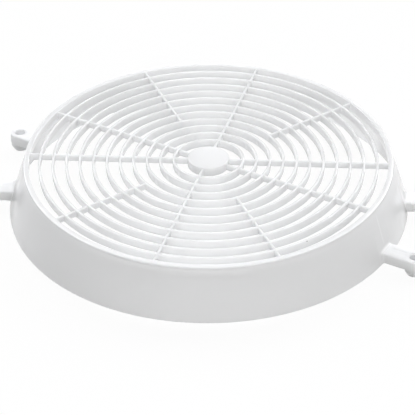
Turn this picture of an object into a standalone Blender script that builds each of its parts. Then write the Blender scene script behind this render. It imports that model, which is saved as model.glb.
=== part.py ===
"""Moulded guard for a 305 mm fan.

One piece of white plastic: a tapered drum wall, a flat grille of rings and spokes that closes
its top, and four screw ears on the base edge.  Metres, +Z up.  The guard stands on the feet
of its four ears, the grille is on top, and +X runs midway between two ears.
"""

import math

import bmesh
import bpy
from mathutils import Matrix, Vector

MM = 0.001

# Drum wall and rim
RIM_RADIUS = 158.6 * MM
WALL_FLARE = 14.1 * MM
WALL_HEIGHT = 45.2 * MM
WALL_THICKNESS = 2.6 * MM
LIP_HEIGHT = 2.0 * MM
LIP_OVERHANG = 0.5 * MM
LIP_ROUND = 0.8 * MM
RIM_LEDGE = 1.6 * MM
RIM_DEPTH = 7.0 * MM

# Rings and hub
RING_PITCH = 11.5 * MM
RING_WIDTH = 2.6 * MM
RING_HEIGHT = 7.2 * MM
HUB_RADIUS = 17.8 * MM
HUB_HEIGHT = 7.6 * MM
HUB_RISE = 0.6 * MM
HUB_ROUND = 0.8 * MM

# Spokes: three lines cross the hub, and a short spoke lies beside each end of the middle one
SPOKE_WIDTH = 2.6 * MM
SPOKE_HEIGHT = 5.7 * MM
SPOKE_DROP = 0.1 * MM
SPOKE_ANGLE = math.radians(38.4)
SHORT_SPOKE_RINGS = 8

# Every bar of the grille has rounded top edges, and loses BAR_DRAFT a side down to its foot
BAR_ROUND = 0.85 * MM
BAR_DRAFT = 0.3 * MM

# Ears: an arm at the base edge, and a tapered foot under its round end
EAR_REACH = 24.3 * MM
EAR_WIDTH = 17.2 * MM
EAR_LIFT = 0.4 * MM
EAR_THICKNESS = 9.6 * MM
EAR_ROUND = 1.0 * MM
FOOT_DROP = 6.6 * MM
FOOT_SHOULDER = 2.5 * MM
FOOT_STEP = 0.4 * MM
FOOT_TAPER = 2.3 * MM

# Screw recess in each foot, and the shallow dish in the top of each arm
HEAD_DIAMETER = 9.2 * MM
SHANK_DIAMETER = 5.0 * MM
SEAT_THICKNESS = 4.0 * MM
DISH_LENGTH = 15.0 * MM
DISH_WIDTH = 7.0 * MM
DISH_DEPTH = 0.8 * MM
DISH_WEB = 2.6 * MM

# How closely straight facets follow a round, and how far a cutter runs past what it cuts
FACET_ERROR = 0.26 * MM
CLEAR = 1.0 * MM
MERGE = 0.01 * MM
SMOOTH_ANGLE = math.radians(30.0)

PLASTIC_COLOUR = (0.86, 0.87, 0.88, 1.0)
PLASTIC_ROUGHNESS = 0.32

BASE_Z = FOOT_DROP
TOP_Z = BASE_Z + WALL_HEIGHT
BASE_RADIUS = RIM_RADIUS + WALL_FLARE
WALL_TOP_RADIUS = RIM_RADIUS - LIP_OVERHANG
RIM_INNER_RADIUS = WALL_TOP_RADIUS - WALL_THICKNESS - RIM_LEDGE
RIM_MIDDLE_RADIUS = (RIM_RADIUS + RIM_INNER_RADIUS) / 2
EAR_MIDDLE_Z = BASE_Z + EAR_LIFT + EAR_THICKNESS / 2
EAR_TOP_Z = EAR_MIDDLE_Z + EAR_THICKNESS / 2
HOLE_RADIUS = BASE_RADIUS + EAR_REACH


def clear_scene():
    for item in list(bpy.data.objects):
        bpy.data.objects.remove(item, do_unlink=True)


def new_collection(name):
    group = bpy.data.collections.new(name)
    bpy.context.scene.collection.children.link(group)
    return group


def plastic():
    material = bpy.data.materials.new("white_plastic")
    material.use_nodes = True
    shader = material.node_tree.nodes["Principled BSDF"]
    shader.inputs["Base Color"].default_value = PLASTIC_COLOUR
    shader.inputs["Roughness"].default_value = PLASTIC_ROUGHNESS
    shader.inputs["Metallic"].default_value = 0.0
    return material


def add_object(name, mesh, group, is_tool=True):
    item = bpy.data.objects.new(name, mesh)
    group.objects.link(item)
    if is_tool:
        item.hide_render = True
        item.display_type = "WIRE"
    return item


def facets(radius):
    """Number of sides, in fours, that keeps a polygon within FACET_ERROR of its circle."""
    half_angle = math.acos(1 - min(FACET_ERROR / radius, 0.5))
    return 4 * math.ceil(math.pi / half_angle / 4)


def turned(name, profile, group, closed=False, is_tool=True):
    """A body of revolution about Z from (radius, height) points that run down its outer side."""
    mesh = bpy.data.meshes.new(name)
    points = [(radius, 0.0, height) for radius, height in profile]
    edges = [(i, i + 1) for i in range(len(points) - 1)]
    if closed:
        edges.append((len(points) - 1, 0))
    mesh.from_pydata(points, edges, [])
    item = add_object(name, mesh, group, is_tool)
    screw = item.modifiers.new("turn", "SCREW")
    screw.axis = "Z"
    screw.angle = math.tau
    screw.steps = facets(max(radius for radius, _ in profile))
    screw.render_steps = screw.steps
    screw.use_merge_vertices = True
    screw.merge_threshold = MERGE
    return item


def bar_section(width, height):
    """Half widths of a bar from its top down, each with its depth below the level top."""
    half = width / 2
    return [(half - BAR_ROUND, 0.0), (half, BAR_ROUND), (half - BAR_DRAFT, height)]


def wall_radius(height):
    """Outer radius of the drum wall at a height, on the slope that runs through the base edge."""
    slope = (WALL_TOP_RADIUS - BASE_RADIUS) / WALL_HEIGHT
    return BASE_RADIUS + slope * (height - BASE_Z)


def drum(group):
    """The tapered wall with its overhanging lip outside and the rim's ledge inside."""
    lip_z = TOP_Z - LIP_HEIGHT
    under_lip_z = lip_z - LIP_OVERHANG
    ledge_z = TOP_Z - RIM_DEPTH
    under_ledge_z = ledge_z - RIM_LEDGE
    profile = [
        (RIM_RADIUS - LIP_ROUND, TOP_Z),
        (RIM_RADIUS, TOP_Z - LIP_ROUND),
        (RIM_RADIUS, lip_z),
        (wall_radius(under_lip_z), under_lip_z),
        (BASE_RADIUS, BASE_Z),
        (BASE_RADIUS - WALL_THICKNESS, BASE_Z),
        (wall_radius(under_ledge_z) - WALL_THICKNESS, under_ledge_z),
        (RIM_INNER_RADIUS, ledge_z),
        (RIM_INNER_RADIUS, TOP_Z),
    ]
    return turned("fan_guard", profile, group, closed=True, is_tool=False)


def ring(index, radius, group):
    """One ring of the grille, its top level with the rim."""
    side = bar_section(RING_WIDTH, RING_HEIGHT)
    outer = [(radius + half, TOP_Z - depth) for half, depth in side]
    inner = [(radius - half, TOP_Z - depth) for half, depth in reversed(side)]
    return turned(f"ring_{index}", outer + inner, group, closed=True)


def hub(group):
    """The plain disc at the centre, a little proud of the bars."""
    top_z = TOP_Z + HUB_RISE
    profile = [
        (0.0, top_z),
        (HUB_RADIUS - HUB_ROUND, top_z),
        (HUB_RADIUS, top_z - HUB_ROUND),
        (HUB_RADIUS, top_z - HUB_HEIGHT),
        (0.0, top_z - HUB_HEIGHT),
    ]
    return turned("hub", profile, group)


def spoke(name, angle, inner_radius, group):
    """A straight bar from inner_radius to the middle of the rim, its top just under the rings'."""
    side = bar_section(SPOKE_WIDTH, SPOKE_HEIGHT)
    section = [(half, -depth) for half, depth in side]
    section += [(-half, -depth) for half, depth in reversed(side)]
    shape = bmesh.new()
    rim_end = [shape.verts.new((RIM_MIDDLE_RADIUS, across, down)) for across, down in section]
    face = shape.faces.new(rim_end)
    run = bmesh.ops.extrude_face_region(shape, geom=[face])
    moved = [part for part in run["geom"] if isinstance(part, bmesh.types.BMVert)]
    bmesh.ops.translate(shape, verts=moved, vec=(inner_radius - RIM_MIDDLE_RADIUS, 0.0, 0.0))
    bmesh.ops.recalc_face_normals(shape, faces=shape.faces)
    mesh = bpy.data.meshes.new(name)
    shape.to_mesh(mesh)
    shape.free()
    mesh.transform(Matrix.Translation((0.0, 0.0, TOP_Z - SPOKE_DROP)) @ Matrix.Rotation(angle, 4, "Z"))
    return add_object(name, mesh, group)


def add_grille(group):
    """Evenly spaced rings between hub and rim, and the ten spokes that carry them."""
    span = RIM_MIDDLE_RADIUS - HUB_RADIUS
    ring_count = max(1, round(span / RING_PITCH) - 1)
    for index in range(1, ring_count + 1):
        ring(index, RIM_MIDDLE_RADIUS - index * RING_PITCH, group)
    hub(group)
    short_end = RIM_MIDDLE_RADIUS - min(SHORT_SPOKE_RINGS, ring_count) * RING_PITCH
    for side_index, middle in enumerate((math.pi / 2, -math.pi / 2)):
        for step in (-2, -1, 0, 1, 2):
            is_short = abs(step) == 1
            inner = short_end if is_short else HUB_RADIUS / 2
            kind = "short_spoke" if is_short else "spoke"
            angle = middle + step * SPOKE_ANGLE
            spoke(f"{kind}_{side_index}_{step + 2}", angle, inner, group)


def ear_angles():
    """Each ear continues one of the four outer spokes that cross the hub."""
    return [middle + 2 * turn * SPOKE_ANGLE
            for middle in (math.pi / 2, -math.pi / 2) for turn in (-1, 1)]


def arm_outline():
    """Plan of an arm along +X: square at the drum, round about the screw hole."""
    half = EAR_WIDTH / 2
    turns = facets(half) // 2
    arc = [-math.pi / 2 + math.pi * i / turns for i in range(turns + 1)]
    outline = [(HOLE_RADIUS + half * math.cos(a), half * math.sin(a)) for a in arc]
    return [(BASE_RADIUS, -half)] + outline + [(BASE_RADIUS, half)]


def arm(index, angle, group):
    """The flat arm of an ear, with rounded edges and its root in the middle of the wall."""
    outline = arm_outline()
    curve = bpy.data.curves.new(f"arm_{index}", "CURVE")
    curve.dimensions = "2D"
    curve.fill_mode = "BOTH"
    curve.extrude = EAR_THICKNESS / 2 - EAR_ROUND
    curve.bevel_depth = EAR_ROUND
    curve.bevel_resolution = 0
    curve.offset = -EAR_ROUND
    line = curve.splines.new("POLY")
    line.points.add(len(outline) - 1)
    for point, (x, y) in zip(line.points, outline):
        point.co = (x, y, 0.0, 1.0)
    line.use_cyclic_u = True
    drawn = bpy.data.objects.new("arm_outline", curve)
    group.objects.link(drawn)
    graph = bpy.context.evaluated_depsgraph_get()
    mesh = bpy.data.meshes.new_from_object(drawn.evaluated_get(graph))
    bpy.data.objects.remove(drawn, do_unlink=True)
    shape = bmesh.new()
    shape.from_mesh(mesh)
    bmesh.ops.remove_doubles(shape, verts=shape.verts, dist=MERGE)
    bmesh.ops.recalc_face_normals(shape, faces=shape.faces)
    bmesh.ops.translate(shape, verts=shape.verts, vec=(0.0, 0.0, EAR_MIDDLE_Z))
    for vert in shape.verts:
        if vert.co.x < BASE_RADIUS + 2 * EAR_ROUND:
            vert.co.x = wall_radius(vert.co.z) - WALL_THICKNESS / 2
    shape.to_mesh(mesh)
    shape.free()
    mesh.transform(Matrix.Rotation(angle, 4, "Z"))
    return add_object(f"arm_{index}", mesh, group)


def foot(index, place, group):
    """The tapered foot under the round end of an arm."""
    top = EAR_WIDTH / 2 - FOOT_STEP
    profile = [
        (0.0, EAR_MIDDLE_Z),
        (top, EAR_MIDDLE_Z),
        (top, BASE_Z - FOOT_SHOULDER),
        (top - FOOT_TAPER, 0.0),
        (0.0, 0.0),
    ]
    item = turned(f"foot_{index}", profile, group)
    item.location = place
    return item


def screw_hole(index, place, group):
    """A recess that takes the screw's head, and a hole for its shank through the foot."""
    profile = [
        (0.0, EAR_TOP_Z + CLEAR),
        (HEAD_DIAMETER / 2, EAR_TOP_Z + CLEAR),
        (HEAD_DIAMETER / 2, SEAT_THICKNESS),
        (SHANK_DIAMETER / 2, SEAT_THICKNESS),
        (SHANK_DIAMETER / 2, -CLEAR),
        (0.0, -CLEAR),
    ]
    item = turned(f"screw_hole_{index}", profile, group)
    item.location = place
    return item


def dish(index, angle, group):
    """A shallow tray in the top of an arm, between the wall and the screw recess."""
    shape = bmesh.new()
    bmesh.ops.create_cube(shape, size=1.0)
    for vert in shape.verts:
        rise = CLEAR if vert.co.z > 0 else -DISH_DEPTH
        outer = HOLE_RADIUS - HEAD_DIAMETER / 2 - DISH_WEB + rise
        inner = outer - DISH_LENGTH - 2 * rise
        vert.co.x = outer if vert.co.x > 0 else inner
        vert.co.y = math.copysign(DISH_WIDTH / 2 + rise, vert.co.y)
        vert.co.z = EAR_TOP_Z + rise
    mesh = bpy.data.meshes.new(f"dish_{index}")
    shape.to_mesh(mesh)
    shape.free()
    mesh.transform(Matrix.Rotation(angle, 4, "Z"))
    return add_object(f"dish_{index}", mesh, group)


def join(item, group, operation):
    step = item.modifiers.new(group.name, "BOOLEAN")
    step.operation = operation
    step.operand_type = "COLLECTION"
    step.collection = group
    step.solver = "EXACT"


def finish(item):
    """Settles the modifiers into the mesh, smooth over the rounds and crisp at the edges."""
    graph = bpy.context.evaluated_depsgraph_get()
    mesh = bpy.data.meshes.new_from_object(item.evaluated_get(graph))
    item.modifiers.clear()
    item.data = mesh
    mesh.materials.clear()
    mesh.materials.append(plastic())
    mesh.shade_smooth()
    mesh.set_sharp_from_angle(angle=SMOOTH_ANGLE)


def build():
    clear_scene()
    parts = new_collection("fan_guard")
    added = new_collection("added")
    cuts = new_collection("cuts")

    guard = drum(parts)
    for index, angle in enumerate(ear_angles()):
        place = Vector((HOLE_RADIUS * math.cos(angle), HOLE_RADIUS * math.sin(angle), 0.0))
        arm(index, angle, added)
        foot(index, place, added)
        screw_hole(index, place, cuts)
        dish(index, angle, cuts)
    add_grille(added)

    join(guard, added, "UNION")
    join(guard, cuts, "DIFFERENCE")
    finish(guard)


build()
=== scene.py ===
"""The moulded fan guard as it lies on a white table: one piece of glossy white plastic."""

import math

import bpy
from mathutils import Euler, Matrix, Vector


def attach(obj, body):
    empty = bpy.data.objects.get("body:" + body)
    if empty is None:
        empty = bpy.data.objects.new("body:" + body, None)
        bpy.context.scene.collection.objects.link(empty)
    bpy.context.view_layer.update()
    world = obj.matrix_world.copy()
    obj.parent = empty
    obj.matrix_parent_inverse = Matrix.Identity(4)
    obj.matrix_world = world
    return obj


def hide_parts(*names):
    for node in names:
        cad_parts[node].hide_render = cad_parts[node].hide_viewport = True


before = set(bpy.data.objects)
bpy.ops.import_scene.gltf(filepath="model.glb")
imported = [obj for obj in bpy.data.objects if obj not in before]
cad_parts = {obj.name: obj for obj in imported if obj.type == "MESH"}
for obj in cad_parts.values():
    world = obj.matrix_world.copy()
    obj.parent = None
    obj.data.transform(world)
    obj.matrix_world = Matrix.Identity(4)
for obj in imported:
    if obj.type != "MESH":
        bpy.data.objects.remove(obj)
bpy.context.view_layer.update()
scene = bpy.context.scene


# The picture is taken from about 35 degrees above the guard and a little off its short axis,
# through a long lens, so that the rings keep nearly their true shape.
VIEW_TURN = math.radians(16.8)
CAMERA_PLACE = Vector((-0.0000178, -1.4827496, 1.0274414))
CAMERA_TILT = Euler((math.radians(55.2807), math.radians(0.3902), math.radians(-0.2277)))
CAMERA_LENS = 179.41
CAMERA_SENSOR = 36.0

camera_data = bpy.data.cameras.new("camera")
camera_data.lens = CAMERA_LENS
camera_data.sensor_width = CAMERA_SENSOR
camera = bpy.data.objects.new("camera", camera_data)
camera.matrix_world = (
    Matrix.Rotation(VIEW_TURN, 4, "Z")
    @ Matrix.Translation(CAMERA_PLACE)
    @ CAMERA_TILT.to_matrix().to_4x4()
)
scene.collection.objects.link(camera)
scene.camera = camera


# The drum is the guard's tapered wall, moulded with the rest from one shot of plastic. It is
# drawn loop by loop as on a lathe: over the lip, down the outside, and up inside to the rim.
FOOT_DROP = 0.0066
WALL_HEIGHT = 0.0452
BASE_Z = FOOT_DROP
TOP_Z = BASE_Z + WALL_HEIGHT
RIM_RADIUS = 0.1586
BASE_RADIUS = 0.1727
WALL_THICKNESS = 0.0026
LIP_HEIGHT = 0.0020
LIP_OVERHANG = 0.0005
RIM_LEDGE = 0.0016
RIM_DEPTH = 0.0070
WALL_TOP_RADIUS = RIM_RADIUS - LIP_OVERHANG
RIM_INNER_RADIUS = WALL_TOP_RADIUS - WALL_THICKNESS - RIM_LEDGE
RIM_MIDDLE_RADIUS = (RIM_RADIUS + RIM_INNER_RADIUS) / 2
LIP_ROUND = 0.0008
LIP_FILLET = 0.0005
BASE_ROUND = 0.0004
LEDGE_FILLET = 0.0010
RIM_ROUND = 0.0006
FINE_ROUND = 0.0003
DRUM_SIDES = 288
WELD = 0.000002


def pick(item, wanted):
    """Leaves item in edit mode with only its wanted vertices selected."""
    bpy.ops.object.mode_set(mode="EDIT")
    bpy.ops.mesh.select_mode(type="VERT")
    bpy.ops.mesh.select_all(action="DESELECT")
    bpy.ops.object.mode_set(mode="OBJECT")
    for vertex in item.data.vertices:
        vertex.select = wanted(vertex.co)
    bpy.ops.object.mode_set(mode="EDIT")


def round_loop(item, radius, height, size, segments):
    """Rounds the edge that runs round the axis at this radius and height."""
    pick(item, lambda co: abs(math.hypot(co.x, co.y) - radius) < WELD
         and abs(co.z - height) < WELD)
    bpy.ops.mesh.bevel(offset=size, segments=segments, affect="EDGES")


def wall_radius(height):
    """The drum's outer radius at this height on its taper."""
    slope = (WALL_TOP_RADIUS - BASE_RADIUS) / WALL_HEIGHT
    return BASE_RADIUS + slope * (height - BASE_Z)


lip_z = TOP_Z - LIP_HEIGHT
under_lip_z = lip_z - LIP_OVERHANG
ledge_z = TOP_Z - RIM_DEPTH
under_ledge_z = ledge_z - RIM_LEDGE
drum_outline = [
    (RIM_RADIUS, TOP_Z),
    (RIM_RADIUS, lip_z),
    (wall_radius(under_lip_z), under_lip_z),
    (BASE_RADIUS, BASE_Z),
    (BASE_RADIUS - WALL_THICKNESS, BASE_Z),
    (wall_radius(under_ledge_z) - WALL_THICKNESS, under_ledge_z),
    (RIM_INNER_RADIUS, ledge_z),
    (RIM_INNER_RADIUS, TOP_Z),
]
bpy.ops.object.select_all(action="DESELECT")
bpy.ops.mesh.primitive_circle_add(
    vertices=DRUM_SIDES, radius=RIM_RADIUS, location=(0.0, 0.0, TOP_Z)
)
guard = bpy.context.object
guard.name = "moulded_guard"
bpy.ops.object.transform_apply(location=True, rotation=True, scale=True)
bpy.ops.object.mode_set(mode="EDIT")
bpy.ops.mesh.select_all(action="SELECT")
for (radius, height), (next_radius, next_height) in zip(drum_outline, drum_outline[1:]):
    bpy.ops.mesh.extrude_region_move(
        TRANSFORM_OT_translate={"value": (0.0, 0.0, next_height - height)}
    )
    share = next_radius / radius
    bpy.ops.transform.resize(value=(share, share, 1.0), center_override=(0.0, 0.0, 0.0))
bpy.ops.mesh.select_all(action="DESELECT")
bpy.ops.mesh.select_non_manifold()
bpy.ops.mesh.bridge_edge_loops()
bpy.ops.mesh.select_all(action="SELECT")
bpy.ops.mesh.normals_make_consistent(inside=False)
round_loop(guard, RIM_RADIUS, TOP_Z, size=LIP_ROUND, segments=4)
round_loop(guard, RIM_RADIUS, lip_z, size=FINE_ROUND, segments=2)
round_loop(guard, wall_radius(under_lip_z), under_lip_z, size=LIP_FILLET, segments=3)
round_loop(guard, BASE_RADIUS, BASE_Z, size=BASE_ROUND, segments=2)
round_loop(guard, BASE_RADIUS - WALL_THICKNESS, BASE_Z, size=BASE_ROUND, segments=2)
round_loop(guard, wall_radius(under_ledge_z) - WALL_THICKNESS, under_ledge_z,
           size=LEDGE_FILLET, segments=3)
round_loop(guard, RIM_INNER_RADIUS, ledge_z, size=FINE_ROUND, segments=2)
round_loop(guard, RIM_INNER_RADIUS, TOP_Z, size=RIM_ROUND, segments=4)
bpy.ops.object.mode_set(mode="OBJECT")


# The grille's bars are ribs of the same moulding: tall, thin, rounded on top, and drafted so
# that they leave the mould. Their upright outline is drawn once for each kind.
BAR_WIDTH = 0.0026
BAR_DRAFT = 0.0003
BAR_FOOT_ROUND = 0.00025


def bar_outline(name, depth, top_round):
    """The outline of a bar as one face in the XZ plane, its top middle at the origin."""
    bpy.ops.object.select_all(action="DESELECT")
    bpy.ops.mesh.primitive_plane_add(
        size=1.0, location=(0.0, 0.0, -depth / 2), rotation=(math.pi / 2, 0.0, 0.0)
    )
    item = bpy.context.object
    item.name = name
    item.scale = (BAR_WIDTH, depth, 1.0)
    bpy.ops.object.transform_apply(location=True, rotation=True, scale=True)
    pick(item, lambda co: co.z < -depth / 2)
    narrow = 1 - 2 * BAR_DRAFT / BAR_WIDTH
    bpy.ops.transform.resize(value=(narrow, 1.0, 1.0), center_override=(0.0, 0.0, 0.0))
    bpy.ops.mesh.bevel(offset=BAR_FOOT_ROUND, segments=2, affect="VERTICES")
    pick(item, lambda co: co.z > -depth / 2)
    bpy.ops.mesh.bevel(offset=top_round, segments=5, affect="VERTICES")
    bpy.ops.object.mode_set(mode="OBJECT")
    return item


def copy_of(item, name):
    """A copy of item with a mesh of its own."""
    twin = item.copy()
    twin.data = item.data.copy()
    twin.name = name
    scene.collection.objects.link(twin)
    return twin


def edit_only(item):
    """Makes item the one that is worked on, all of it selected in edit mode."""
    bpy.ops.object.select_all(action="DESELECT")
    item.select_set(True)
    bpy.context.view_layer.objects.active = item
    bpy.ops.object.mode_set(mode="EDIT")
    bpy.ops.mesh.select_all(action="SELECT")


# Eleven rings lie level with the rim, evenly spaced so that no finger passes between them, and
# nearly half round on top. Each is the bar's outline spun once about the guard's axis.
RING_PITCH = 0.0115
RING_HEIGHT = 0.0072
RING_ROUND = 0.0011
RING_COUNT = 11
RING_STEP = 0.0036

ring_outline = bar_outline("ring_outline", RING_HEIGHT, RING_ROUND)
additions = []
for index in range(1, RING_COUNT + 1):
    radius = RIM_MIDDLE_RADIUS - index * RING_PITCH
    ring = copy_of(ring_outline, f"ring_{index}")
    edit_only(ring)
    bpy.ops.transform.translate(value=(radius, 0.0, TOP_Z))
    bpy.ops.mesh.delete(type="ONLY_FACE")
    bpy.ops.mesh.select_all(action="SELECT")
    bpy.ops.mesh.spin(
        steps=8 * round(math.tau * radius / RING_STEP / 8),
        angle=math.tau,
        center=(0.0, 0.0, 0.0),
        axis=(0.0, 0.0, 1.0),
    )
    bpy.ops.mesh.select_all(action="SELECT")
    bpy.ops.mesh.remove_doubles(threshold=WELD)
    bpy.ops.mesh.normals_make_consistent(inside=False)
    bpy.ops.object.mode_set(mode="OBJECT")
    additions.append(ring)
bpy.data.objects.remove(ring_outline)


# Ten straight ribs tie the rings together, half round on top and just below the rings. Three
# pairs run from the hub to the rim, and the four beside the short axis stop at the eighth
# ring from the rim.
SPOKE_HEIGHT = 0.0057
SPOKE_ROUND = 0.00125
SPOKE_DROP = 0.0005
SPOKE_ANGLE = math.radians(38.4)
SHORT_SPOKE_RINGS = 8
HUB_RADIUS = 0.0178

spoke_outline = bar_outline("spoke_outline", SPOKE_HEIGHT, SPOKE_ROUND)
for side in (1, -1):
    for step in (-2, -1, 0, 1, 2):
        is_short = abs(step) == 1
        short_end = RIM_MIDDLE_RADIUS - SHORT_SPOKE_RINGS * RING_PITCH
        inner = short_end if is_short else HUB_RADIUS / 2
        spoke = copy_of(spoke_outline, f"spoke_{side + 1}_{step + 2}")
        edit_only(spoke)
        bpy.ops.transform.translate(value=(0.0, side * inner, TOP_Z - SPOKE_DROP))
        bpy.ops.mesh.extrude_region_move(
            TRANSFORM_OT_translate={"value": (0.0, side * (RIM_MIDDLE_RADIUS - inner), 0.0)}
        )
        bpy.ops.mesh.select_all(action="SELECT")
        bpy.ops.mesh.normals_make_consistent(inside=False)
        bpy.ops.object.mode_set(mode="OBJECT")
        spoke.data.transform(Matrix.Rotation(step * SPOKE_ANGLE, 4, "Z"))
        additions.append(spoke)
bpy.data.objects.remove(spoke_outline)


# The hub is a plain disc at the middle, a little proud of the bars, with a soft edge.
HUB_HEIGHT = 0.0076
HUB_RISE = 0.0006
HUB_ROUND = 0.0008

hub_top = TOP_Z + HUB_RISE
bpy.ops.object.select_all(action="DESELECT")
bpy.ops.mesh.primitive_cylinder_add(
    vertices=96, radius=HUB_RADIUS, depth=HUB_HEIGHT,
    location=(0.0, 0.0, hub_top - HUB_HEIGHT / 2),
)
hub = bpy.context.object
hub.name = "hub"
bpy.ops.object.transform_apply(location=True, rotation=True, scale=True)
round_loop(hub, HUB_RADIUS, hub_top, size=HUB_ROUND, segments=4)
round_loop(hub, HUB_RADIUS, hub_top - HUB_HEIGHT, size=BAR_FOOT_ROUND, segments=2)
bpy.ops.object.mode_set(mode="OBJECT")
additions.append(hub)


# Four ears stand out from the base edge, in line with the outer spokes. Each is a thick flat
# arm with soft edges, a filleted root and a round end, over a foot that tapers down to the
# panel it sits on.
EAR_REACH = 0.0243
EAR_WIDTH = 0.0172
EAR_LIFT = 0.0004
EAR_THICKNESS = 0.0096
EAR_ROUND = 0.0010
ROOT_FILLET = 0.0022
ROOT_STEPS = 6
FOOT_SHOULDER = 0.0025
FOOT_STEP = 0.0004
FOOT_TAPER = 0.0023
FOOT_ROUND = 0.0005
TOE_ROUND = 0.0004
FLAT_ANGLE = math.radians(1.0)
EAR_SIDES = 64
HOLE_RADIUS = BASE_RADIUS + EAR_REACH
EAR_BOTTOM_Z = BASE_Z + EAR_LIFT
EAR_TOP_Z = EAR_BOTTOM_Z + EAR_THICKNESS
ear_angles = [
    middle + turn * 2 * SPOKE_ANGLE for middle in (math.pi / 2, -math.pi / 2) for turn in (-1, 1)
]

bpy.ops.object.select_all(action="DESELECT")
bpy.ops.mesh.primitive_cylinder_add(
    vertices=EAR_SIDES, radius=EAR_WIDTH / 2, depth=EAR_THICKNESS,
    location=(HOLE_RADIUS, 0.0, (EAR_BOTTOM_Z + EAR_TOP_Z) / 2),
)
arm = bpy.context.object
arm.name = "arm"
bpy.ops.object.transform_apply(location=True, rotation=True, scale=True)
edit_only(arm)
bpy.ops.mesh.bisect(
    plane_co=(HOLE_RADIUS, 0.0, 0.0), plane_no=(1.0, 0.0, 0.0), use_fill=True, clear_inner=True
)
root_x = BASE_RADIUS + ROOT_FILLET
bpy.ops.mesh.extrude_region_move(
    TRANSFORM_OT_translate={"value": (root_x - HOLE_RADIUS, 0.0, 0.0)}
)
bpy.ops.mesh.select_all(action="SELECT")
bpy.ops.mesh.normals_make_consistent(inside=False)
bpy.ops.mesh.dissolve_limited(angle_limit=FLAT_ANGLE)
bpy.ops.mesh.select_mode(type="EDGE")
bpy.ops.mesh.select_all(action="DESELECT")
bpy.ops.object.mode_set(mode="OBJECT")
for edge in arm.data.edges:
    first, second = (arm.data.vertices[index].co for index in edge.vertices)
    is_level = abs(first.z - second.z) < WELD
    is_root = max(first.x, second.x) < root_x + WELD
    edge.select = is_level and not is_root
bpy.ops.object.mode_set(mode="EDIT")
bpy.ops.mesh.bevel(offset=EAR_ROUND, segments=4, affect="EDGES")
bpy.ops.mesh.select_all(action="SELECT")
bpy.ops.mesh.bisect(plane_co=(0.0, 0.0, 0.0), plane_no=(0.0, 1.0, 0.0))
pick(arm, lambda co: co.x < root_x + WELD)
reach, width, height = 0.0, EAR_WIDTH, EAR_THICKNESS
for step in range(1, ROOT_STEPS + 1):
    turn = math.pi / 2 * step / ROOT_STEPS
    next_reach = ROOT_FILLET * math.sin(turn)
    spread = ROOT_FILLET * (1 - math.cos(turn))
    bpy.ops.mesh.extrude_region_move(
        TRANSFORM_OT_translate={"value": (reach - next_reach, 0.0, 0.0)}
    )
    bpy.ops.transform.resize(
        value=(1.0, (EAR_WIDTH + 2 * spread) / width, (EAR_THICKNESS + spread) / height),
        center_override=(0.0, 0.0, EAR_BOTTOM_Z),
    )
    reach, width, height = next_reach, EAR_WIDTH + 2 * spread, EAR_THICKNESS + spread
bpy.ops.mesh.extrude_region_move(
    TRANSFORM_OT_translate={"value": (-WALL_THICKNESS / 2, 0.0, 0.0)}
)
bpy.ops.object.mode_set(mode="OBJECT")
for vertex in arm.data.vertices:
    if vertex.co.x < root_x + WELD:
        lean = wall_radius(vertex.co.z) - BASE_RADIUS
        vertex.co.x += lean - vertex.co.y ** 2 / (2 * BASE_RADIUS)

foot_top_z = EAR_BOTTOM_Z + EAR_ROUND
foot_radius = EAR_WIDTH / 2 - FOOT_STEP
shoulder_z = BASE_Z - FOOT_SHOULDER
bpy.ops.object.select_all(action="DESELECT")
bpy.ops.mesh.primitive_cylinder_add(
    vertices=EAR_SIDES, radius=foot_radius, depth=EAR_THICKNESS / 2,
    location=(0.0, 0.0, shoulder_z + EAR_THICKNESS / 4),
)
foot = bpy.context.object
foot.name = "foot"
bpy.ops.object.transform_apply(location=True, rotation=True, scale=True)
pick(foot, lambda co: co.z < shoulder_z + WELD)
bpy.ops.mesh.extrude_region_move(TRANSFORM_OT_translate={"value": (0.0, 0.0, -shoulder_z)})
narrow = 1 - FOOT_TAPER / foot_radius
bpy.ops.transform.resize(value=(narrow, narrow, 1.0), center_override=(0.0, 0.0, 0.0))
round_loop(foot, foot_radius, shoulder_z, size=FOOT_ROUND, segments=3)
round_loop(foot, foot_radius * narrow, 0.0, size=TOE_ROUND, segments=3)
bpy.ops.object.mode_set(mode="OBJECT")
foot.data.transform(Matrix.Translation((HOLE_RADIUS, 0.0, 0.0)))


# Each ear takes a screw: a recess for its head, with a softened mouth, over a smaller hole for
# its shank. A shallow tray in the arm's top keeps the thick arm from sinking as it cools; its
# sides run down in a long soft curve, several times as wide as the tray is deep.
HEAD_DIAMETER = 0.0092
SHANK_DIAMETER = 0.0050
SEAT_Z = 0.0040
MOUTH_ROUND = 0.0004
DISH_LENGTH = 0.0150
DISH_WIDTH = 0.0070
DISH_DEPTH = 0.0005
DISH_WEB = 0.0026
DISH_CORNER = 0.0022
DISH_LEAN = 4.6
DISH_BRIM = 0.00005
DISH_STEPS = 7
CLEAR = 0.0010

hole_outline = [
    (HEAD_DIAMETER / 2 + MOUTH_ROUND + CLEAR, EAR_TOP_Z + CLEAR),
    (HEAD_DIAMETER / 2 + MOUTH_ROUND / 3, EAR_TOP_Z - MOUTH_ROUND / 3),
    (HEAD_DIAMETER / 2, EAR_TOP_Z - MOUTH_ROUND),
    (HEAD_DIAMETER / 2, SEAT_Z),
    (SHANK_DIAMETER / 2, SEAT_Z),
    (SHANK_DIAMETER / 2, -CLEAR),
]
bpy.ops.object.select_all(action="DESELECT")
bpy.ops.mesh.primitive_circle_add(
    vertices=EAR_SIDES, radius=hole_outline[0][0], fill_type="NGON",
    location=(0.0, 0.0, hole_outline[0][1]),
)
screw_hole = bpy.context.object
screw_hole.name = "screw_hole"
bpy.ops.object.transform_apply(location=True, rotation=True, scale=True)
bpy.ops.object.mode_set(mode="EDIT")
bpy.ops.mesh.select_all(action="SELECT")
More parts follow.
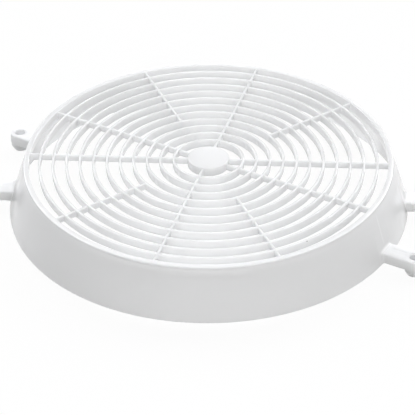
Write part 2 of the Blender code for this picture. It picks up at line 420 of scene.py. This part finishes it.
for (radius, height), (next_radius, next_height) in zip(hole_outline, hole_outline[1:]):
    bpy.ops.mesh.extrude_region_move(
        TRANSFORM_OT_translate={"value": (0.0, 0.0, next_height - height)}
    )
    share = next_radius / radius
    bpy.ops.transform.resize(value=(share, share, 1.0), center_override=(0.0, 0.0, 0.0))
bpy.ops.mesh.select_all(action="SELECT")
bpy.ops.mesh.normals_make_consistent(inside=False)
bpy.ops.object.mode_set(mode="OBJECT")
screw_hole.data.transform(Matrix.Translation((HOLE_RADIUS, 0.0, 0.0)))

dish_middle = HOLE_RADIUS - HEAD_DIAMETER / 2 - DISH_WEB - DISH_LENGTH / 2
bpy.ops.object.select_all(action="DESELECT")
bpy.ops.mesh.primitive_plane_add(size=1.0, location=(dish_middle, 0.0, EAR_TOP_Z + CLEAR))
dish = bpy.context.object
dish.name = "dish"
dish.scale = (DISH_LENGTH + 2 * DISH_DEPTH, DISH_WIDTH + 2 * DISH_DEPTH, 1.0)
bpy.ops.object.transform_apply(location=True, rotation=True, scale=True)
edit_only(dish)
bpy.ops.mesh.bevel(offset=DISH_CORNER, segments=5, affect="VERTICES")
bpy.ops.mesh.select_all(action="SELECT")
length, width, height = DISH_LENGTH + 2 * DISH_DEPTH, DISH_WIDTH + 2 * DISH_DEPTH, CLEAR
for step in range(DISH_STEPS + 1):
    share = step / DISH_STEPS
    grow = DISH_DEPTH * (1 - DISH_LEAN * share)
    next_height = DISH_BRIM * (1 - share) - DISH_DEPTH * share * share * (3 - 2 * share)
    next_length, next_width = DISH_LENGTH + 2 * grow, DISH_WIDTH + 2 * grow
    bpy.ops.mesh.extrude_region_move(
        TRANSFORM_OT_translate={"value": (0.0, 0.0, next_height - height)}
    )
    bpy.ops.transform.resize(
        value=(next_length / length, next_width / width, 1.0),
        center_override=(dish_middle, 0.0, 0.0),
    )
    length, width, height = next_length, next_width, next_height
bpy.ops.mesh.select_all(action="SELECT")
bpy.ops.mesh.normals_make_consistent(inside=False)
bpy.ops.object.mode_set(mode="OBJECT")


def weld(item, other, operation):
    """Adds other to item, or cuts it out, and removes it."""
    bpy.ops.object.select_all(action="DESELECT")
    item.select_set(True)
    bpy.context.view_layer.objects.active = item
    step = item.modifiers.new(other.name, "BOOLEAN")
    step.operation = operation
    step.solver = "MANIFOLD"
    step.object = other
    bpy.ops.object.modifier_apply(modifier=step.name)
    bpy.data.objects.remove(other)


weld(arm, foot, "UNION")
weld(arm, screw_hole, "DIFFERENCE")
weld(arm, dish, "DIFFERENCE")
for index, angle in enumerate(ear_angles):
    ear = copy_of(arm, f"ear_{index}")
    ear.data.transform(Matrix.Rotation(angle, 4, "Z"))
    additions.append(ear)
bpy.data.objects.remove(arm)


# All of it leaves the mould as one piece, so the drum takes in the rings, spokes, hub and
# ears, and the whole is the one rigid body of the part.
SMOOTH_ANGLE = math.radians(32.0)

for piece in additions:
    weld(guard, piece, "UNION")
bpy.ops.object.shade_smooth_by_angle(angle=SMOOTH_ANGLE)
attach(guard, "root")
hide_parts("fan_guard")


# The plastic is coloured right through and comes out of a polished mould: white, glossy, with
# the slight waves that a cooling wall leaves in its shine, and faint clouds in its colour.
# Painted shade greys the bar sides, spokes, ears and screw recesses, and a painted highlight
# runs over each ear.
class Wire:
    """One output of a shader node, so that shader maths reads as a plain sum."""

    def __init__(self, socket):
        self.socket = socket

    def node(self, kind, settings, sockets, output=0):
        """Adds a node beside this one: its settings first, then its sockets."""
        tree = self.socket.id_data
        added = tree.nodes.new(kind)
        for name, value in settings.items():
            setattr(added, name, value)
        for key, value in sockets.items():
            if isinstance(value, Wire):
                tree.links.new(value.socket, added.inputs[key])
            else:
                added.inputs[key].default_value = value
        return Wire(added.outputs[output])

    def maths(self, operation, first, second):
        """Adds a Math node for two values, each one a wire or a plain number."""
        return self.node("ShaderNodeMath", {"operation": operation}, {0: first, 1: second})

    def __add__(self, other):
        return self.maths("ADD", self, other)

    def __radd__(self, other):
        return self.maths("ADD", other, self)

    def __sub__(self, other):
        return self.maths("SUBTRACT", self, other)

    def __rsub__(self, other):
        return self.maths("SUBTRACT", other, self)

    def __mul__(self, other):
        return self.maths("MULTIPLY", self, other)

    def __rmul__(self, other):
        return self.maths("MULTIPLY", other, self)

    def __mod__(self, other):
        return self.maths("MODULO", self, other)

    def __rmod__(self, other):
        return self.maths("MODULO", other, self)

    def __pow__(self, other):
        return self.maths("POWER", self, other)

    def __rpow__(self, other):
        return self.maths("POWER", other, self)

    def __abs__(self):
        return self.maths("ABSOLUTE", self, 0.0)


def noise(place, scale, detail):
    """Cloudy values about 0, from -0.5 to 0.5, with scale clouds to the metre."""
    cloud = place.node(
        "ShaderNodeTexNoise", {}, {"Vector": place, "Scale": scale, "Detail": detail}
    )
    return cloud - 0.5


PLASTIC_WHITE = (0.925, 0.926, 0.926, 1.0)
PLASTIC_CLOUD = (0.905, 0.907, 0.908, 1.0)
HIGHLIGHT_WHITE = (0.985, 0.986, 0.988, 1.0)
HIGHLIGHT_SHARE = 0.85
BAR_SIDE_SHADE = (0.885, 0.887, 0.886, 1.0)
SPOKE_SHADE = (0.840, 0.843, 0.846, 1.0)
EAR_SHADE = (0.860, 0.864, 0.872, 1.0)
EAR_SIDE_SHADE = (0.775, 0.779, 0.777, 1.0)
RECESS_SHADE = (0.720, 0.725, 0.735, 1.0)
SPECK_GREY = (0.300, 0.300, 0.290, 1.0)
SPECK_SPACING = 0.022
SPECK_SIZE = 0.0007
SPECK_SHARE = 0.10
CLOUDS_PER_METRE = 28.0
POLISH = 0.15
POLISH_CHANGE = 0.05
PATCHES_PER_METRE = 45.0
DULLING = 0.30
WAVES_PER_METRE = 30.0
WAVE_HEIGHT = 0.00010
GRAINS_PER_METRE = 900.0
GRAIN_HEIGHT = 0.000004
PLASTIC_IOR = 1.53
GLOW_DEPTH = 0.014

white_plastic = bpy.data.materials.new("white_plastic")
white_plastic.use_nodes = True
shader = white_plastic.node_tree.nodes["Principled BSDF"]
coordinates = white_plastic.node_tree.nodes.new("ShaderNodeTexCoord")
place = Wire(coordinates.outputs["Object"])


def ramp(value, start, end):
    """Rises smoothly from 0 to 1 as value goes from start to end."""
    return value.node(
        "ShaderNodeMapRange",
        {"interpolation_type": "SMOOTHSTEP"},
        {"Value": value, "From Min": start, "From Max": end},
    )


def paint(under, over, share):
    """Puts the colour over on the colour under, as far as share says."""
    return share.node(
        "ShaderNodeMix", {"data_type": "RGBA"}, {0: share, 6: under, 7: over}, output=2
    )


across = place.node("ShaderNodeSeparateXYZ", {}, {0: place}, output=0)
along = place.node("ShaderNodeSeparateXYZ", {}, {0: place}, output=1)
height = place.node("ShaderNodeSeparateXYZ", {}, {0: place}, output=2)
reach = (across * across + along * along) ** 0.5

# A mask is 1 where its tone lies, and fades out over the distances in its ramps. The ears are
# painted greyer as painted shade, most of all on their sides and in their screw recesses.
ear_x = abs(HOLE_RADIUS * math.cos(ear_angles[0]))
ear_y = abs(HOLE_RADIUS * math.sin(ear_angles[0]))
ear_turn = math.atan2(ear_y, ear_x)
aside = place.maths("ARCTAN2", abs(along), abs(across)) - ear_turn
aside = abs(aside * BASE_RADIUS)
on_ear = ramp(reach, BASE_RADIUS - 0.004, BASE_RADIUS + 0.003)
on_ear = on_ear * ramp(aside, EAR_WIDTH / 2 + 0.0030, EAR_WIDTH / 2 + 0.0005)
ear_side_shade = on_ear * ramp(height, EAR_TOP_Z - 0.0004, EAR_TOP_Z - 0.0018)
from_hole = ((abs(across) - ear_x) ** 2.0 + (abs(along) - ear_y) ** 2.0) ** 0.5
# Painted shade darkens the screw recesses.
in_hole = ramp(from_hole, HEAD_DIAMETER / 2 + 0.0004, HEAD_DIAMETER / 2 - 0.0001)
in_hole = in_hole * ramp(height, EAR_TOP_Z - 0.0002, EAR_TOP_Z - 0.0020)

# A faint pale line is painted up the wall over each ear: a painted highlight.
painted_highlight = ramp(aside, 0.0016, 0.0002) * HIGHLIGHT_SHARE
painted_highlight = painted_highlight * ramp(height, EAR_TOP_Z + 0.0010, EAR_TOP_Z + 0.0080)
painted_highlight = painted_highlight * ramp(height, TOP_Z - 0.0030, TOP_Z - 0.0100)

# The sides of the bars, and the spokes, which lie a little below the rings, are painted darker:
# painted shade.
bar_side_shade = ramp(height, TOP_Z - 0.0006, TOP_Z - 0.0030)
bar_side_shade = bar_side_shade * ramp(reach, RIM_INNER_RADIUS - 0.0005, RIM_INNER_RADIUS - 0.0060)
spoke_turn = place.maths("ARCTAN2", abs(across), abs(along)) + SPOKE_ANGLE / 2
from_spoke = abs((spoke_turn % SPOKE_ANGLE - SPOKE_ANGLE / 2) * reach)
on_spoke = ramp(from_spoke, BAR_WIDTH / 2 + 0.0006, BAR_WIDTH / 2 + 0.0001)
on_spoke = on_spoke * ramp(height, TOP_Z - SPOKE_DROP + 0.0004, TOP_Z - SPOKE_DROP)
on_spoke = on_spoke * ramp(height, TOP_Z - SPOKE_HEIGHT - 0.0008, TOP_Z - SPOKE_HEIGHT)
on_spoke = on_spoke * ramp(reach, HUB_RADIUS, HUB_RADIUS + 0.001)
on_spoke = on_spoke * ramp(reach, RIM_INNER_RADIUS, RIM_INNER_RADIUS - 0.001)

# A few dark specks are moulded in, no wider than a millimetre.
specks = {"Vector": place, "Scale": 1 / SPECK_SPACING}
from_speck = place.node("ShaderNodeTexVoronoi", {}, specks, output=0) * SPECK_SPACING
draw = place.node("ShaderNodeTexVoronoi", {}, specks, output=1)
draw = draw.node("ShaderNodeSeparateColor", {}, {0: draw}, output=0)
speck = ramp(from_speck, SPECK_SIZE, SPECK_SIZE / 2)
speck = speck * place.maths("LESS_THAN", draw, SPECK_SHARE)

colour = paint(PLASTIC_WHITE, PLASTIC_CLOUD, noise(place, CLOUDS_PER_METRE, 3.0) + 0.5)
colour = paint(colour, HIGHLIGHT_WHITE, painted_highlight)
colour = paint(colour, BAR_SIDE_SHADE, bar_side_shade)
colour = paint(colour, SPOKE_SHADE, on_spoke)
colour = paint(colour, EAR_SHADE, on_ear)
colour = paint(colour, EAR_SIDE_SHADE, ear_side_shade)
colour = paint(colour, RECESS_SHADE, in_hole)
colour = paint(colour, SPECK_GREY, speck)
sheen = POLISH + noise(place, PATCHES_PER_METRE, 2.0) * POLISH_CHANGE
sheen = sheen + (on_spoke + on_ear) * DULLING
waves = noise(place, WAVES_PER_METRE, 1.0) * WAVE_HEIGHT
waves = waves + noise(place, GRAINS_PER_METRE, 2.0) * GRAIN_HEIGHT
relief = place.node("ShaderNodeBump", {}, {"Strength": 1.0, "Distance": 1.0, "Height": waves})
white_plastic.node_tree.links.new(colour.socket, shader.inputs["Base Color"])
white_plastic.node_tree.links.new(sheen.socket, shader.inputs["Roughness"])
white_plastic.node_tree.links.new(relief.socket, shader.inputs["Normal"])
shader.inputs["IOR"].default_value = PLASTIC_IOR
shader.inputs["Subsurface Weight"].default_value = 1.0
shader.inputs["Subsurface Radius"].default_value = (1.0, 1.0, 1.0)
shader.inputs["Subsurface Scale"].default_value = GLOW_DEPTH
guard.data.materials.clear()
guard.data.materials.append(white_plastic)


# The guard lies on a white table in front of a white sweep, under soft light from all round.
FLOOR_WHITE = (0.97, 0.97, 0.97, 1.0)
FLOOR_GLOW = 0.95
FLOOR_SIZE = 12.0
FLOOR_DROP = 0.0003
LAMP_SPREAD = math.radians(40.0)

bpy.ops.object.select_all(action="DESELECT")
bpy.ops.mesh.primitive_plane_add(size=FLOOR_SIZE, location=(0.0, 0.0, -FLOOR_DROP))
table = bpy.context.object
table.name = "table"
bpy.ops.object.mode_set(mode="EDIT")
bpy.ops.mesh.subdivide(number_cuts=3)
bpy.ops.object.mode_set(mode="OBJECT")
table_white = bpy.data.materials.new("table_white")
table_white.use_nodes = True
tree = table_white.node_tree
tree.nodes.clear()
diffuse = tree.nodes.new("ShaderNodeBsdfDiffuse")
diffuse.inputs["Color"].default_value = FLOOR_WHITE
glow = tree.nodes.new("ShaderNodeEmission")
glow.inputs["Strength"].default_value = 1.0
rays = tree.nodes.new("ShaderNodeLightPath")
blend = tree.nodes.new("ShaderNodeMixShader")
output = tree.nodes.new("ShaderNodeOutputMaterial")
seen = Wire(rays.outputs["Is Camera Ray"]) + Wire(rays.outputs["Is Glossy Ray"])
seen = (seen + Wire(rays.outputs["Is Transmission Ray"])) * FLOOR_GLOW
tree.links.new(seen.socket, blend.inputs[0])
tree.links.new(diffuse.outputs[0], blend.inputs[1])
tree.links.new(glow.outputs[0], blend.inputs[2])
tree.links.new(blend.outputs[0], output.inputs["Surface"])
table.data.materials.append(table_white)

world = bpy.data.worlds.new("studio")
scene.world = world
world.use_nodes = True
backdrop = world.node_tree.nodes["Background"]
backdrop.inputs["Color"].default_value = (1.0, 1.0, 1.0, 1.0)
world_rays = world.node_tree.nodes.new("ShaderNodeLightPath")
strength = Wire(world_rays.outputs["Is Camera Ray"]) + Wire(world_rays.outputs["Is Glossy Ray"])
world.node_tree.links.new(strength.socket, backdrop.inputs["Strength"])


def soft_lamp(name, azimuth, elevation, strength, tint=(1.0, 1.0, 1.0)):
    """A distant soft box that faces the guard from a direction given as the camera sees it."""
    data = bpy.data.lights.new(name, "SUN")
    data.angle = LAMP_SPREAD
    data.energy = strength
    data.color = tint
    lamp = bpy.data.objects.new(name, data)
    turn = math.radians(azimuth) + VIEW_TURN
    rise = math.radians(elevation)
    out = math.cos(rise)
    away = Vector((math.cos(turn) * out, math.sin(turn) * out, math.sin(rise)))
    lamp.rotation_euler = away.to_track_quat("Z", "Y").to_euler()
    scene.collection.objects.link(lamp)


DAYLIGHT = (0.965, 0.976, 1.0)
LAMPLIGHT = (1.0, 0.990, 0.972)
soft_lamp("back_right", azimuth=55.0, elevation=40.0, strength=1.38, tint=DAYLIGHT)
soft_lamp("back_left", azimuth=125.0, elevation=40.0, strength=1.43, tint=DAYLIGHT)
soft_lamp("overhead", azimuth=90.0, elevation=66.0, strength=0.68, tint=DAYLIGHT)
soft_lamp("right", azimuth=35.0, elevation=28.0, strength=0.50)
soft_lamp("front_right", azimuth=292.0, elevation=27.0, strength=0.80, tint=LAMPLIGHT)
soft_lamp("front_left", azimuth=250.0, elevation=27.0, strength=0.32, tint=LAMPLIGHT)
scene.view_settings.view_transform = "Standard"
